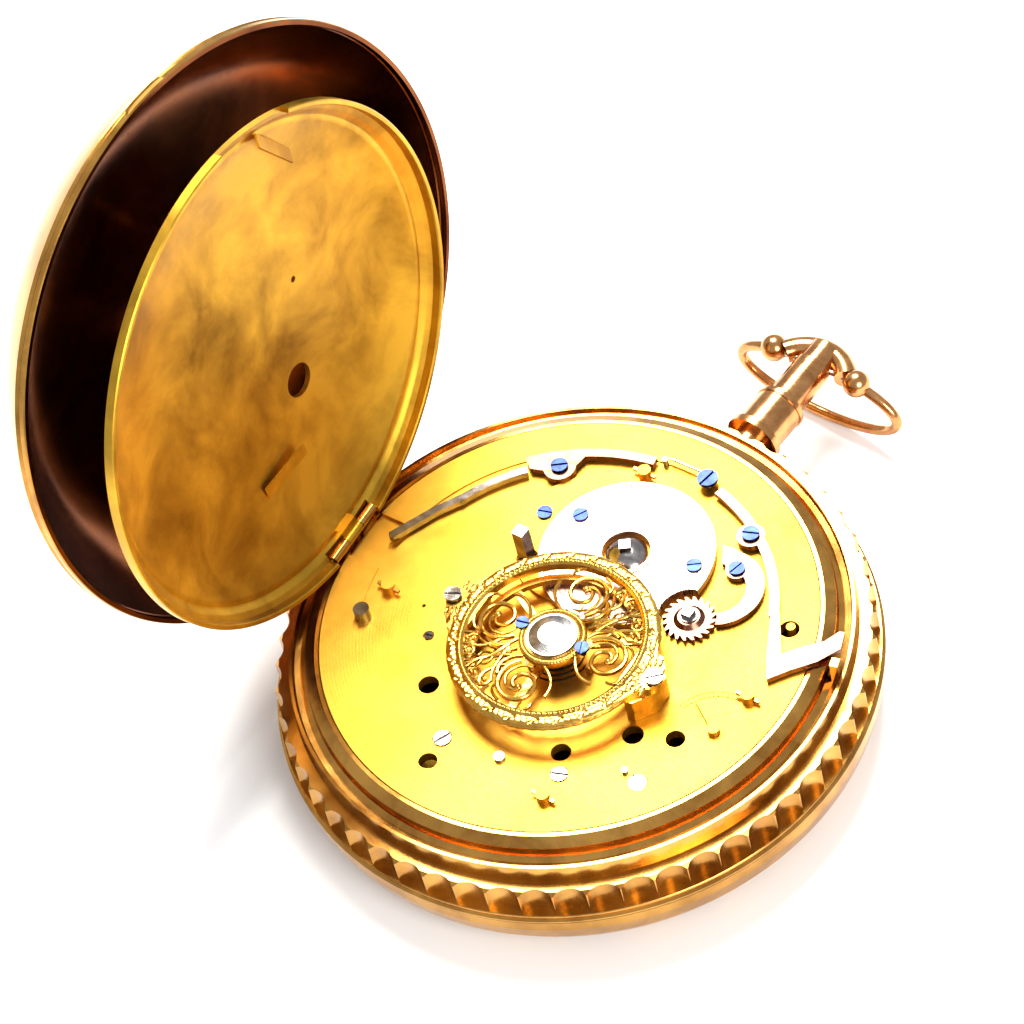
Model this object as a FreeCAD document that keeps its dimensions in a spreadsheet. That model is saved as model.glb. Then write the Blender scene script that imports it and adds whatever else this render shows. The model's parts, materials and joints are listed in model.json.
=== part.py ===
import FreeCAD, Part
import Sketcher
import math
import os

# Open face verge pocket watch, lying on its glass with the back cover and the cuvette open.
# Frame: origin at the middle of the glass (rest face), +Z towards the back cover,
# +Y towards the pendant, the lid hinges on the -X side.  All sizes are millimetres.

doc = FreeCAD.newDocument("pocket_watch")
sheet = doc.addObject("Spreadsheet::Sheet", "dims")

DIMS = {
    # case middle (outer diameter 55) and its front
    "case_r": 27.5, "band_r": 27.0, "band_top": 9.35, "band_foot": 5.65,
    "rim_r": 25.34, "rim_inner_r": 25.05, "rim_z": 10.98, "ledge_r": 25.55,
    "seat_r": 23.72, "seat_z": 11.5, "bore_r": 22.42, "seat_top": 11.97,
    "channel_r": 24.4, "channel_z": 10.35, "bead_z": 5.95, "bead_r": 27.3,
    "flute_count": 58, "flute_r": 1.9, "flute_axis_r": 28.25, "flute_z": 6.55,
    "bezel_r": 27.4, "bezel_top": 5.58, "land_out_r": 24.4, "land_in_r": 22.6,
    "glass_r": 22.35, "glass_thick": 1.1, "bezel_in_r": 21.4, "flange_r": 23.2,
    # hinges
    "back_hinge_x": 26.45, "back_hinge_z": 9.8, "back_knuckle_r": 0.6, "back_knuckle_len": 3.0,
    "cuv_hinge_x": 22.6, "cuv_hinge_z": 12.9, "cuv_knuckle_r": 0.5, "cuv_knuckle_len": 2.2,
    "cuv_bearing": 4.5, "bez_hinge_x": 27.62, "bez_hinge_z": 5.6, "bez_knuckle_r": 0.5,
    "bez_knuckle_len": 2.4, "hinge_gap": 0.06, "hinge_pin_r": 0.25,
    "back_open": 96.0, "cuv_open": 94.0,
    # covers
    "lid_r": 27.05, "lid_wall": 0.55, "lid_rim_z": 9.45, "lid_wall_z": 10.5, "lid_crown_z": 19.1,
    "cuv_r": 23.4, "cuv_wall": 0.5, "cuv_rim_z": 12.2, "cuv_wall_z": 13.1, "cuv_top_z": 16.6,
    "wind_x": -6.9, "wind_y": 3.8, "wind_hole_r": 1.6, "wind_square": 1.15,
    # pendant, push piece and bow
    "pend_z": 7.4, "pend_bearing": -2.2, "collar_r": 2.35, "collar_y0": 27.62, "collar_y1": 32.6,
    "neck_r": 1.5, "tube_r": 1.85, "tube_y0": 31.1, "tube_y1": 37.6, "rod_r": 0.85, "rod_y0": 22.8,
    "arch_r": 4.17, "arch_rise": 1.9, "arch_wire": 1.15, "arch_y": 38.0,
    "ball_x": 4.65, "ball_r": 1.33, "bow_wire": 0.52, "bow_drop": 6.8, "bow_half": 9.35,
    # movement levels
    "dial_r": 20.6, "dial_z": 2.9, "dial_thick": 0.6, "pillar_plate_z": 5.1, "pillar_plate_top": 6.3,
    "plate_z": 10.8, "plate_top": 12.0, "plate_sunk": 0.15, "plate_r": 22.3, "sunk_r": 18.9,
    # balance and cock
    "bal_x": 1.85, "bal_y": -3.95, "bal_r": 7.8, "bal_z": 13.35, "cock_r": 9.5, "cock_z": 14.4,
    "cock_top": 15.3, "cock_ear": 10.45, "cock_tilt": 2.6, "cock_window_r": 8.0, "cock_hub_r": 3.0,
    "cap_r": 2.25,
    # regulator disc, ratchet and click
    "reg_x": 1.1, "reg_y": 8.1, "reg_r": 8.0, "reg_z": 12.2, "reg_top": 13.0, "reg_hole_r": 2.2,
    "rat_x": 9.9, "rat_y": 4.85, "rat_r": 2.4, "rat_teeth": 20,
    # hammers
    "arm_out_r": 18.75, "arm_in_r": 17.85, "arm_z": 12.12, "arm_thick": 0.6,
    # going train
    "fusee_r": 6.0, "great_r": 6.45, "drum_r": 6.2, "drum_z": 6.85, "drum_top": 10.2,
    "third_x": -5.05, "third_y": -3.53,
    "contrate_x": -4.75, "contrate_y": -8.47, "crown_z": 8.6,
}
for row, (alias, value) in enumerate(DIMS.items(), start=1):
    sheet.set("A%d" % row, alias)
    sheet.set("B%d" % row, str(value))
    sheet.setAlias("B%d" % row, alias)
doc.recompute()

V = FreeCAD.Vector


def size(alias):
    return float(sheet.get(alias))


def ex(text):
    """Spell out a formula: every known alias is read from the sheet."""
    words = []
    word = ""
    for ch in str(text) + " ":
        if ch.isalnum() or ch == "_" or (ch == "." and word[:1].isdigit()):
            word += ch
            continue
        words.append("dims." + word if word in DIMS else word)
        words.append(ch)
        word = ""
    return "".join(words).strip()


def bind(obj, **formulas):
    """Tie properties of an object to formulas in the sheet's names."""
    for prop, formula in formulas.items():
        obj.setExpression(prop.replace("__", "."), ex(formula))
    return obj


def at(obj, x=0, y=0, z=0, axis=None, angle=0):
    """Place an object; position formulas stay live."""
    if axis is not None:
        obj.Placement = FreeCAD.Placement(V(0, 0, 0), FreeCAD.Rotation(axis, angle))
    return bind(obj, Placement__Base__x=x, Placement__Base__y=y, Placement__Base__z=z)


counter = {"n": 0}


def new(kind, name="piece"):
    counter["n"] += 1
    return doc.addObject(kind, "%s_%d" % (name, counter["n"]))


def cyl(r, h, x=0, y=0, z=0, axis=None, angle=0, sweep=360):
    obj = new("Part::Cylinder", "cyl")
    obj.Angle = sweep
    return at(bind(obj, Radius=r, Height=h), x, y, z, axis, angle)


def cone(r1, r2, h, x=0, y=0, z=0, axis=None, angle=0):
    return at(bind(new("Part::Cone", "cone"), Radius1=r1, Radius2=r2, Height=h), x, y, z, axis, angle)


def ball(r, x=0, y=0, z=0):
    return at(bind(new("Part::Sphere", "ball"), Radius=r), x, y, z)


def box(length, width, height, x=0, y=0, z=0, axis=None, angle=0):
    obj = bind(new("Part::Box", "box"), Length=length, Width=width, Height=height)
    return at(obj, x, y, z, axis, angle)


def fuse(*shapes):
    obj = new("Part::MultiFuse", "fuse")
    obj.Shapes = list(shapes)
    return obj


def cut(base, *tools):
    obj = new("Part::Cut", "cut")
    obj.Base = base
    obj.Tool = tools[0] if len(tools) == 1 else fuse(*tools)
    return obj


def group(*shapes):
    obj = new("Part::Compound", "group")
    obj.Links = list(shapes)
    return obj


def ring(r_out, r_in, h, x=0, y=0, z=0, angle=0, sweep=360):
    """Flat ring, or a sector of one starting at the given bearing."""
    turn = V(0, 0, 1) if angle else None
    outer = cyl(r_out, h, x, y, z, turn, angle, sweep)
    return cut(outer, cyl(r_in, "(%s)+0.2" % h, x, y, "(%s)-0.1" % z))


NODES = []


def node(label, obj):
    obj.Label = label
    NODES.append(obj)
    return obj


def outline(body, role, corners):
    """Closed outline on one of the body's own planes, every corner held by sheet formulas."""
    plane = [o for o in body.Origin.OriginFeatures if o.Role == role][0]
    sketch = body.newObject("Sketcher::SketchObject", body.Name + "_outline")
    sketch.AttachmentSupport = [(plane, "")]
    sketch.MapMode = "FlatFace"
    count = len(corners)
    start = [V(10 + i, 10 + i * i, 0) for i in range(count)]
    for i in range(count):
        sketch.addGeometry(Part.LineSegment(start[i], start[(i + 1) % count]), False)
    for i in range(count):
        sketch.addConstraint(Sketcher.Constraint("Coincident", i, 2, (i + 1) % count, 1))
        places = (start[i].x, start[i].y)
        for kind, place, formula in zip(("DistanceX", "DistanceY"), places, corners[i]):
            number = sketch.addConstraint(Sketcher.Constraint(kind, -1, 1, i, 1, place))
            sketch.setExpression("Constraints[%d]" % number, ex(formula))
    return sketch


def turned(corners, name="turned"):
    """Body turned about Z from (radius, height) corners."""
    body = new("PartDesign::Body", name)
    sketch = outline(body, "XZ_Plane", corners)
    spin = body.newObject("PartDesign::Revolution", body.Name + "_spin")
    spin.Profile = sketch
    spin.ReferenceAxis = (sketch, ["V_Axis"])
    spin.Angle = 360
    return body


def slab(corners, z, h, name="slab"):
    """Flat body of the given outline, from height z upwards."""
    body = new("PartDesign::Body", name)
    sketch = outline(body, "XY_Plane", corners)
    pad = body.newObject("PartDesign::Pad", body.Name + "_pad")
    pad.Profile = sketch
    bind(pad, Length=h)
    return at(body, 0, 0, z)


# --- case middle ---------------------------------------------------------
case_body = turned([
    ("bore_r", "band_foot"), ("case_r-0.35", "band_foot"), ("case_r", "bead_z-0.15"),
    ("case_r", "bead_z+0.05"), ("case_r-0.4", "bead_z+0.2"), ("bead_r", "bead_z+0.35"),
    ("bead_r", "bead_z+0.55"), ("band_r+0.1", "flute_z+0.1"), ("band_r", "band_top-0.3"),
    ("band_r-0.35", "band_top"), ("ledge_r", "band_top"), ("rim_r", "rim_z"),
    ("rim_inner_r", "rim_z"), ("channel_r+0.5", "channel_z+0.1"), ("channel_r", "channel_z"),
    ("seat_r+0.15", "channel_z+0.25"), ("seat_r", "seat_z"), ("bore_r+0.35", "seat_top"),
    ("bore_r", "seat_top"),
], "case_turning")

UP_Y = (V(1, 0, 0), -90)
UP_X = (V(0, 1, 0), 90)


def along_y(r, y0, y1, x, z):
    return cyl(r, "(%s)-(%s)" % (y1, y0), x, y0, z, *UP_Y)


def along_x(r, x0, x1, y, z):
    return cyl(r, "(%s)-(%s)" % (x1, x0), x0, y, z, *UP_X)


def bearing(obj, degrees):
    """Turn a finished piece about the watch's own axis."""
    obj = group(obj)
    obj.Placement = FreeCAD.Placement(V(0, 0, 0), FreeCAD.Rotation(V(0, 0, 1), degrees))
    return obj


def open_pose(obj, hinge, degrees, turn=0):
    """Swing a closed cover up about its hinge line."""
    line = V(-size(hinge + "_hinge_x"), 0, size(hinge + "_hinge_z"))
    swing = FreeCAD.Placement(V(0, 0, 0), FreeCAD.Rotation(V(0, 1, 0), -degrees), line)
    bearing_turn = FreeCAD.Placement(V(0, 0, 0), FreeCAD.Rotation(V(0, 0, 1), turn))
    obj.Placement = bearing_turn.multiply(swing)
    return obj


def hinge_outer(hinge, web_x, web_w, web_z, web_h):
    """The two case knuckles of a hinge, each with a web down to its seat."""
    pieces = []
    knuckle = hinge + "_knuckle_len"
    for y0 in ("%s/2+hinge_gap" % knuckle, "-1.35*%s-hinge_gap-0.15*%s" % (knuckle, knuckle)):
        y1 = "%s+%s" % (y0, knuckle)
        pieces.append(along_y(hinge + "_knuckle_r", y0, y1, "-%s_hinge_x" % hinge, hinge + "_hinge_z"))
        pieces.append(box(web_w, knuckle, web_h, web_x, y0, web_z))
    return pieces


def hinge_bore(hinge):
    reach = "1.5*%s_knuckle_len+0.5" % hinge
    return along_y("hinge_pin_r+0.03", "-(%s)" % reach, reach, "-%s_hinge_x" % hinge,
                   hinge + "_hinge_z")


def hinge_pin(hinge):
    reach = "1.5*%s_knuckle_len" % hinge
    return along_y("hinge_pin_r", "-(%s)" % reach, reach, "-%s_hinge_x" % hinge, hinge + "_hinge_z")


def polar(count, radius, make):
    """Copies of a piece spaced evenly round the watch's axis."""
    pieces = []
    for i in range(count):
        a = math.radians(360.0 * i / count)
        pieces.append(make("%s*%.6f" % (radius, math.cos(a)), "%s*%.6f" % (radius, math.sin(a))))
    return pieces


flutes = polar(int(size("flute_count")), "flute_axis_r",
               lambda x, y: cyl("flute_r", 4, x, y, "flute_z"))
back_recess = box(2.6, 8.5, 1, "-back_hinge_x-1.7", -4.25, 9.0)
bezel_recess = box(1.4, "bez_knuckle_len+2*hinge_gap", 1.4, "-bez_hinge_x-0.7",
                   "-bez_knuckle_len/2-hinge_gap", "bez_hinge_z-0.7")
cuv_recess_back = bearing(box(1.9, 6.0, 1, -24.1, -3.0, 11.45), size("cuv_bearing"))
push_bore = bearing(along_y(1.72, 22, 28, 0, "pend_z"), size("pend_bearing"))
case_hollow = cut(case_body, *flutes, back_recess, bezel_recess, cuv_recess_back, push_bore)
cuv_outer = bearing(fuse(*hinge_outer("cuv", "-cuv_hinge_x-0.4", 0.5, 11.3, "cuv_hinge_z-11.3")),
                    size("cuv_bearing"))
strike_block = cut(bearing(box(0.7, 0.9, 2.4, 24.3, -0.45, 10.3), 15.6), case_body)
case_solid = fuse(
    case_hollow, cuv_outer,
    *hinge_outer("back", "-back_hinge_x-0.35", 0.7, 8.8, "back_hinge_z-8.8"),
    *hinge_outer("bez", -27.4, 0.5, 5.66, 0.44),
)
node("case_middle", cut(case_solid, hinge_bore("back"), hinge_bore("bez"),
                        bearing(hinge_bore("cuv"), size("cuv_bearing"))))
node("striking_block", strike_block)
node("hinge_pins", group(hinge_pin("back"), hinge_pin("bez"),
                         bearing(hinge_pin("cuv"), size("cuv_bearing"))))

# --- front bezel and glass -----------------------------------------------
bezel_ring = turned([
    ("glass_r", 0.25), ("land_in_r", 0), ("land_out_r", 0), (26.0, 1.2), (27.0, 2.9),
    ("bezel_r", 4.5), ("bezel_r", "bezel_top"), (23.6, "bezel_top"), (23.6, 3.2), ("bezel_in_r", 2.0),
    ("bezel_in_r", "glass_thick"), ("glass_r", "glass_thick"),
], "bezel_turning")
bezel_cuts = []
for y0 in ("bez_knuckle_len/2+hinge_gap-0.05", "-1.5*bez_knuckle_len-hinge_gap-0.05"):
    bezel_cuts.append(box(1.4, "bez_knuckle_len+0.1", 1.4, "-bez_hinge_x-0.7", y0, "bez_hinge_z-0.7"))
bezel_tab = box(0.6, "bez_knuckle_len", 0.5, "-bez_hinge_x+0.1", "-bez_knuckle_len/2", 4.98)
bezel_knuckle = along_y("bez_knuckle_r", "-bez_knuckle_len/2", "bez_knuckle_len/2",
                        "-bez_hinge_x", "bez_hinge_z")
bezel_solid = fuse(cut(bezel_ring, *bezel_cuts), bezel_knuckle, bezel_tab)
node("front_bezel", cut(bezel_solid, hinge_bore("bez")))
node("watch_glass", turned([(0, 0), ("glass_r-0.45", 0), ("glass_r", 0.35), ("glass_r", "glass_thick"),
                            (0, "glass_thick")], "glass"))

# --- back cover: deep dish with a domed crown -----------------------------
def dome(r, rim_z, wall_z, crown_z, wall, power):
    """Turned shell: a short upright rim under a crown that flattens to its middle."""
    def side(inset):
        points = [(r - inset, rim_z)]
        rise = crown_z - inset - wall_z
        for step in (1.0, 0.97, 0.93, 0.87, 0.78, 0.66, 0.5, 0.3, 0.0):
            points.append(((r - inset) * step, wall_z + rise * (1 - step ** power)))
        return points
    return turned(side(0) + side(wall)[::-1], "dome")


lid_dome = dome(size("lid_r"), size("lid_rim_z"), size("lid_wall_z"), size("lid_crown_z"),
                size("lid_wall"), 6)
lid_recess = box(1.6, 9.32, 1.3, "-back_hinge_x-0.85", -4.66, 9.25)
lid_tab = box(0.6, "back_knuckle_len", 0.85, "-lid_r+0.02", "-back_knuckle_len/2", "back_hinge_z")
lid_knuckle = along_y("back_knuckle_r", "-back_knuckle_len/2", "back_knuckle_len/2",
                      "-back_hinge_x", "back_hinge_z")
lid_lip = box(0.7, 5, 0.5, "lid_r-0.35", -2.5, "lid_rim_z+0.1")
lid_solid = fuse(cut(lid_dome, lid_recess), lid_knuckle, lid_tab, lid_lip)
node("back_cover", open_pose(cut(lid_solid, hinge_bore("back")), "back", size("back_open")))

# --- cuvette: inner dust cover with a winding hole -------------------------
cuv_turning = dome(size("cuv_r"), size("cuv_rim_z"), size("cuv_wall_z"), size("cuv_top_z"),
                   size("cuv_wall"), 4)
cuv_cut = box(2.2, 6.92, 1.5, "-cuv_hinge_x-1.2", -3.46, 12.05)
cuv_relief = bearing(box(2.4, 9.0, 1.2, 22.2, -4.5, 11.9), 16.5)
cuv_tab = box(1.5, "cuv_knuckle_len", 0.95, "-cuv_hinge_x-0.2", "-cuv_knuckle_len/2",
              "cuv_hinge_z+0.05")
cuv_knuckle = along_y("cuv_knuckle_r", "-cuv_knuckle_len/2", "cuv_knuckle_len/2",
                      "-cuv_hinge_x", "cuv_hinge_z")
cuv_solid = fuse(cut(cuv_turning, cuv_cut, cuv_relief), cuv_knuckle, cuv_tab)
cuv_holes = [cyl("wind_hole_r", 2, "wind_x", "wind_y", "cuv_top_z-1"),
             cyl(0.3, 2, 2.2, 7.6, "cuv_top_z-1")]
cuv_closed = cut(cuv_solid, hinge_bore("cuv"), *cuv_holes)
node("cuvette", open_pose(cuv_closed, "cuv", size("cuv_open"), size("cuv_bearing")))


def strip(start, end, width, thick):
    """Thin straight strip laid from one point to another."""
    run = V(*end) - V(*start)
    piece = group(box(run.Length, width, thick, 0, -width / 2, 0))
    piece.Placement = FreeCAD.Placement(V(*start), FreeCAD.Rotation(V(1, 0, 0), run))
    return piece


tongues = (strip((20.35, 7.05, 12.95), (14.3, 11.2, 14.4), 1.3, 0.18),
           strip((-12.3, -5.1, 15.4), (-12.1, 0.5, 14.9), 1.3, 0.18))
node("cuvette_springs", open_pose(group(*tongues), "cuv", size("cuv_open"), size("cuv_bearing")))

# --- pendant, push piece and bow -------------------------------------------
def pendant(obj):
    return bearing(obj, size("pend_bearing"))


collar = fuse(along_y("collar_r", "collar_y0", "collar_y1", 0, "pend_z"),
              along_y("collar_r+0.35", "collar_y0", "collar_y0+0.7", 0, "pend_z"),
              along_y("collar_r+0.12", "collar_y1-0.6", "collar_y1-0.25", 0, "pend_z"),
              along_y("neck_r+0.2", 23.2, 27.7, 0, "pend_z"))
node("pendant_collar", pendant(cut(collar, along_y("neck_r+0.03", 22, 29, 0, "pend_z"),
                                   along_y("tube_r+0.03", 27.95, 35, 0, "pend_z"))))
node("push_tube", pendant(fuse(along_y("tube_r", "tube_y0", "tube_y1", 0, "pend_z"),
                               along_y("neck_r", 27.2, "tube_y0+0.1", 0, "pend_z"),
                               along_y("rod_r", "rod_y0", 27.3, 0, "pend_z"))))
arch = new("Part::Torus", "arch")
bind(arch, Radius1="arch_r", Radius2="arch_wire")
arch.Angle3 = 114
at(arch, 0, "arch_y+arch_rise-arch_r", "pend_z", V(0, 0, 1), 33)
head = fuse(arch, along_y("tube_r-0.15", "tube_y1", "arch_y+arch_rise", 0, "pend_z"))
node("push_head", pendant(cut(head, along_x(0.3, "-ball_x-1", "ball_x+1", "arch_y", "pend_z"),
                              ball("ball_r+0.05", "ball_x", "arch_y", "pend_z"),
                              ball("ball_r+0.05", "-ball_x", "arch_y", "pend_z"))))
node("bow_pin", pendant(along_x(0.3, "-ball_x-0.5", "ball_x+0.5", "arch_y", "pend_z")))

bow_b = 3.6
bow_mid = size("bow_drop") - bow_b
bow_a = size("bow_half") - size("bow_wire")
start = math.degrees(math.acos(size("ball_x") / bow_a))
spine = new("Part::Ellipse", "bow_spine")
spine.MajorRadius = bow_a
spine.MinorRadius = bow_b
spine.Angle1 = 90
spine.Angle2 = 180 + start
bow_centre = V(0, size("arch_y"), size("pend_z") - bow_mid)
spine.Placement = FreeCAD.Placement(bow_centre, FreeCAD.Rotation(V(1, 0, 0), -90))
doc.recompute()
edge = spine.Shape.Edges[0]
wire_end = new("Part::Circle", "bow_section")
bind(wire_end, Radius="bow_wire")
head_point = edge.valueAt(edge.FirstParameter)
head_way = edge.tangentAt(edge.FirstParameter)
wire_end.Placement = FreeCAD.Placement(head_point, FreeCAD.Rotation(V(0, 0, 1), head_way))
wire = new("Part::Sweep", "bow_wire")
wire.Sections = [wire_end]
wire.Spine = (spine, ["Edge1"])
wire.Solid = True
wire.Frenet = True
other_half = new("Part::Mirroring", "bow_half")
other_half.Source = wire
other_half.Normal = V(1, 0, 0)
bow_solid = fuse(wire, other_half, ball("ball_r", "ball_x", "arch_y", "pend_z"),
                 ball("ball_r", "-ball_x", "arch_y", "pend_z"))
node("bow", pendant(cut(bow_solid, along_x(0.34, "-ball_x-0.6", "ball_x+0.6", "arch_y", "pend_z"))))

# --- movement plates and pillars -------------------------------------------
PILLARS = [(-16.2, -4.9), (9.2, -16.7), (19.0, 0.2), (-2.8, 16.7)]
PLATE_HOLES = [(15.6, -6.1, 0.87), (12.15, -7.5, 0.95), (7.65, -11.95, 0.9), (-2.1, -18.25, 0.85),
               (-6.85, -11.65, 0.95), (18.1, 8.2, 0.9), (-12.4, -4.8, 0.18)]
TRAIN_PIVOTS = [("third_x", "third_y", 0.23), ("contrate_x", "contrate_y", 0.23)]
LOWER_PIVOTS = TRAIN_PIVOTS + [("wind_x", "wind_y", 0.43), ("rat_x", "rat_y", 0.45), (0, 0, 0.75)]
MINUTE_POST = (4.93, -1.8)
node("pillar_plate", cut(fuse(cyl("plate_r", "pillar_plate_top-pillar_plate_z", 0, 0, "pillar_plate_z"),
                              cyl("flange_r", 0.5, 0, 0, "pillar_plate_z"),
                              cyl(0.35, 1.6, *MINUTE_POST, 3.58)),
                         *[cyl(r, 4, x, y, 4.5) for x, y, r in LOWER_PIVOTS]))
pillar_parts = []
for x, y in PILLARS:
    pillar_parts.append(cut(
        fuse(cyl(1.25, "plate_z-pillar_plate_top", x, y, "pillar_plate_top"),
             cyl(0.6, 2.1, x, y, "plate_z"), cyl(1.6, 0.5, x, y, "pillar_plate_top"),
             cyl(1.6, 0.5, x, y, "plate_z-0.5")),
        box(3.4, 0.3, 0.3, "%s-1.7" % x, "%s-0.15" % y, 12.25)))
node("movement_pillars", group(*pillar_parts))
node("pillar_pins", group(*[box(2.4, 0.3, 0.3, "%s-1.2" % x, "%s-0.15" % y, 12.25)
                            for x, y in PILLARS]))

EDGE_SCREWS = [(8.8, -13.9, 0.75, 20), (-2.4, -15.7, 0.8, 65), (15.25, -11.4, 0.8, -30),
               (-10.05, -7.3, 0.42, 10)]
SMALL_PINS = [(3.3, -15.0, 0.5), (13.7, -11.0, 0.28)]
plate_cuts = [cyl("bal_r-6.9", 3, "bal_x", "bal_y", 10), cyl(0.83, 3, "reg_x", "reg_y", 10),
              cyl(1.0, 3, "wind_x", "wind_y", 10), cyl(0.85, 3, "rat_x", "rat_y", 10)]
plate_cuts += [cyl(r, 3, x, y, 10) for x, y, r in PLATE_HOLES]
plate_cuts += [cyl(0.6, 3, x, y, 10) for x, y in PILLARS]
plate_cuts += [cyl("%s+0.12" % r, 1, x, y, "plate_top-0.45") for x, y, r, turn in EDGE_SCREWS]
plate_cuts += [cyl(0.3, 3, x, y, 10) for x, y, r, turn in EDGE_SCREWS]
plate_cuts += [cyl(r, 3, x, y, 10) for x, y, r in SMALL_PINS]
plate_cuts += [cyl(0.58, 0.5, 18.2, -4.0, "plate_top-plate_sunk"),
               cyl(0.78, 0.5, -16.55, -8.4, "plate_top-plate_sunk")]
plate_cuts += [cyl("sunk_r", 1, 0, 0, "plate_top-plate_sunk"),
               box(3.9, 5.3, 1, -22.4, -3.4, 11.6)]


# --- shapes with many repeats: toothed wheels and flat ribbons --------------
def own_shape(shape, name):
    obj = new("Part::Feature", name)
    obj.Shape = shape
    return obj


def prism(points, z, h):
    corners = [V(x, y, z) for x, y in points]
    return Part.Face(Part.makePolygon(corners + corners[:1])).extrude(V(0, 0, h))


def toothed(tip_r, teeth, z, h, depth, x=0, y=0, lean=0.0):
    """Wheel or pinion blank with trapezoid teeth."""
    points = []
    for i in range(teeth):
        for share, r in ((-0.38, tip_r - depth), (-0.14, tip_r), (0.14, tip_r), (0.38, tip_r - depth)):
            a = 2 * math.pi * (i + share + (lean if r == tip_r else 0)) / teeth
            points.append((x + r * math.cos(a), y + r * math.sin(a)))
    return own_shape(prism(points, z, h), "teeth")


def ribbon(path, width, z, h):
    """Flat strip of even width along a path."""
    left, right = [], []
    for i, (x, y) in enumerate(path):
        x0, y0 = path[max(i - 1, 0)]
        x1, y1 = path[min(i + 1, len(path) - 1)]
        run = math.hypot(x1 - x0, y1 - y0)
        nx, ny = -(y1 - y0) / run * width / 2, (x1 - x0) / run * width / 2
        left.append((x + nx, y + ny))
        right.append((x - nx, y - ny))
    return own_shape(prism(left + right[::-1], z, h), "ribbon")


def arc_path(x, y, r0, r1, a0, a1, steps):
    path = []
    for i in range(steps + 1):
        a = math.radians(a0 + (a1 - a0) * i / steps)
        r = r0 + (r1 - r0) * i / steps
        path.append((x + r * math.cos(a), y + r * math.sin(a)))
    return path


# --- going train -------------------------------------------------------------
FX, FY = size("wind_x"), size("wind_y")
TX, TY = size("third_x"), size("third_y")
KX, KY = size("contrate_x"), size("contrate_y")
RX, RY = size("rat_x"), size("rat_y")
BX, BY = size("bal_x"), size("bal_y")

centre_blank = cut(toothed(5.6, 60, 6.45, 0.2, 0.4), ring(4.6, 1.6, 1, 0, 0, 6.2, 20, 100),
                   ring(4.6, 1.6, 1, 0, 0, 6.2, 140, 100), ring(4.6, 1.6, 1, 0, 0, 6.2, 260, 100))
node("centre_wheel", fuse(centre_blank, cyl(0.45, 3.6, 0, 0, 1.35), cyl(0.5, 5.8, 0, 0, 4.9),
                          cyl(0.3, 1.1, 0, 0, 10.7), toothed(1.37, 12, 6.9, 0.9, 0.4)))
node("cannon_pinion", cut(fuse(cyl(0.75, 3.15, 0, 0, 1.75), toothed(1.33, 12, 4.35, 0.55, 0.4)),
                          cyl(0.45, 4, 0, 0, 1.5)))


def train_arbor(x, y, pinion_z, pinion_h):
    return fuse(cyl(0.3, 4.4, x, y, 6.35), cyl(0.2, 0.6, x, y, 5.8), cyl(0.2, 0.7, x, y, 10.7),
                toothed(0.52, 6, pinion_z, pinion_h, 0.2, x, y))


def spoked(tip_r, teeth, z, h, x, y):
    """Toothed wheel with four crossings."""
    gaps = [ring(0.8 * tip_r, 0.3 * tip_r, h + 1, x, y, z - 0.5, a, 70) for a in (10, 100, 190, 280)]
    return cut(toothed(tip_r, teeth, z, h, 0.3, x, y), *gaps)


node("third_wheel", fuse(train_arbor(TX, TY, 6.38, 0.55), spoked(4.39, 48, 10.45, 0.2, TX, TY)))

# contrate wheel: a cup whose teeth stand up to meet the crown wheel's level pinion
crown_teeth = Part.makeCylinder(3.4, 0.85, V(KX, KY, 7.2)).cut(Part.makeCylinder(3.1, 1, V(KX, KY, 7.45)))
for i in range(45):
    gap = Part.makeBox(0.8, 0.22, 0.5, V(3.0, -0.11, 7.7))
    gap.rotate(V(0, 0, 0), V(0, 0, 1), 8.0 * i)
    gap.translate(V(KX, KY, 0))
    crown_teeth = crown_teeth.cut(gap)
contrate_blank = cut(own_shape(crown_teeth, "contrate"),
                     *[ring(2.8, 1.0, 1, KX, KY, 7, a, 80) for a in (5, 95, 185, 275)])
node("contrate_wheel", fuse(train_arbor(KX, KY, 10.2, 0.5), contrate_blank))


def on_crown_line(obj):
    """Stand a piece made about +X on the crown wheel's own level line."""
    whole = group(obj)
    away = math.degrees(math.atan2(KY - BY, KX - BX))
    whole.Placement = FreeCAD.Placement(V(BX, BY, size("crown_z")), FreeCAD.Rotation(V(0, 0, 1), away))
    return whole


crown_cup = cut(cyl(1.5, 0.85, 0.66, 0, 0, *UP_X), cyl(1.25, 0.7, 0.6, 0, 0, *UP_X))
notches = []
for i in range(15):
    notch = new("Part::Wedge", "notch")
    notch.Placement = FreeCAD.Placement(V(0, 0, 0), FreeCAD.Rotation(V(1, 0, 0), 24.0 * i))
    bind(notch, Xmin=0.6, Xmax=1.15, Ymin=-0.04, Ymax=0.44, Zmin=1.0, Zmax=1.7,
         X2min=0.6, X2max=0.62, Z2min=1.0, Z2max=1.7)
    notches.append(notch)
leaves = toothed(0.45, 6, 0, 0.75, 0.18)
leaves.Placement = FreeCAD.Placement(V(4.5, 0, 0), FreeCAD.Rotation(V(0, 1, 0), 90))
node("crown_wheel", on_crown_line(fuse(cut(crown_cup, *notches), cyl(0.28, 4.3, 1.2, 0, 0, *UP_X),
                                       leaves)))
node("counter_potence", on_crown_line(cut(box(0.5, 1.0, 2.9, 3.4, -0.5, -2.3),
                                          cyl(0.31, 3, 3, 0, 0, *UP_X))))
node("potence", on_crown_line(cut(
    fuse(box(0.6, 1.0, 3.1, 1.8, -0.5, -0.9), box(0.7, 1.2, 4.1, -1.9, -0.6, -1.9),
         box(2.3, 0.9, 0.3, -1.9, -0.45, -1.9), box(4.3, 2.0, 0.3, -1.9, -1.0, 1.9)),
    cyl(0.31, 3, 1.5, 0, 0, *UP_X), cyl(0.23, 1, 0, 0, -2.2), cyl(0.7, 1, 0, 0, 1.7))))

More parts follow.
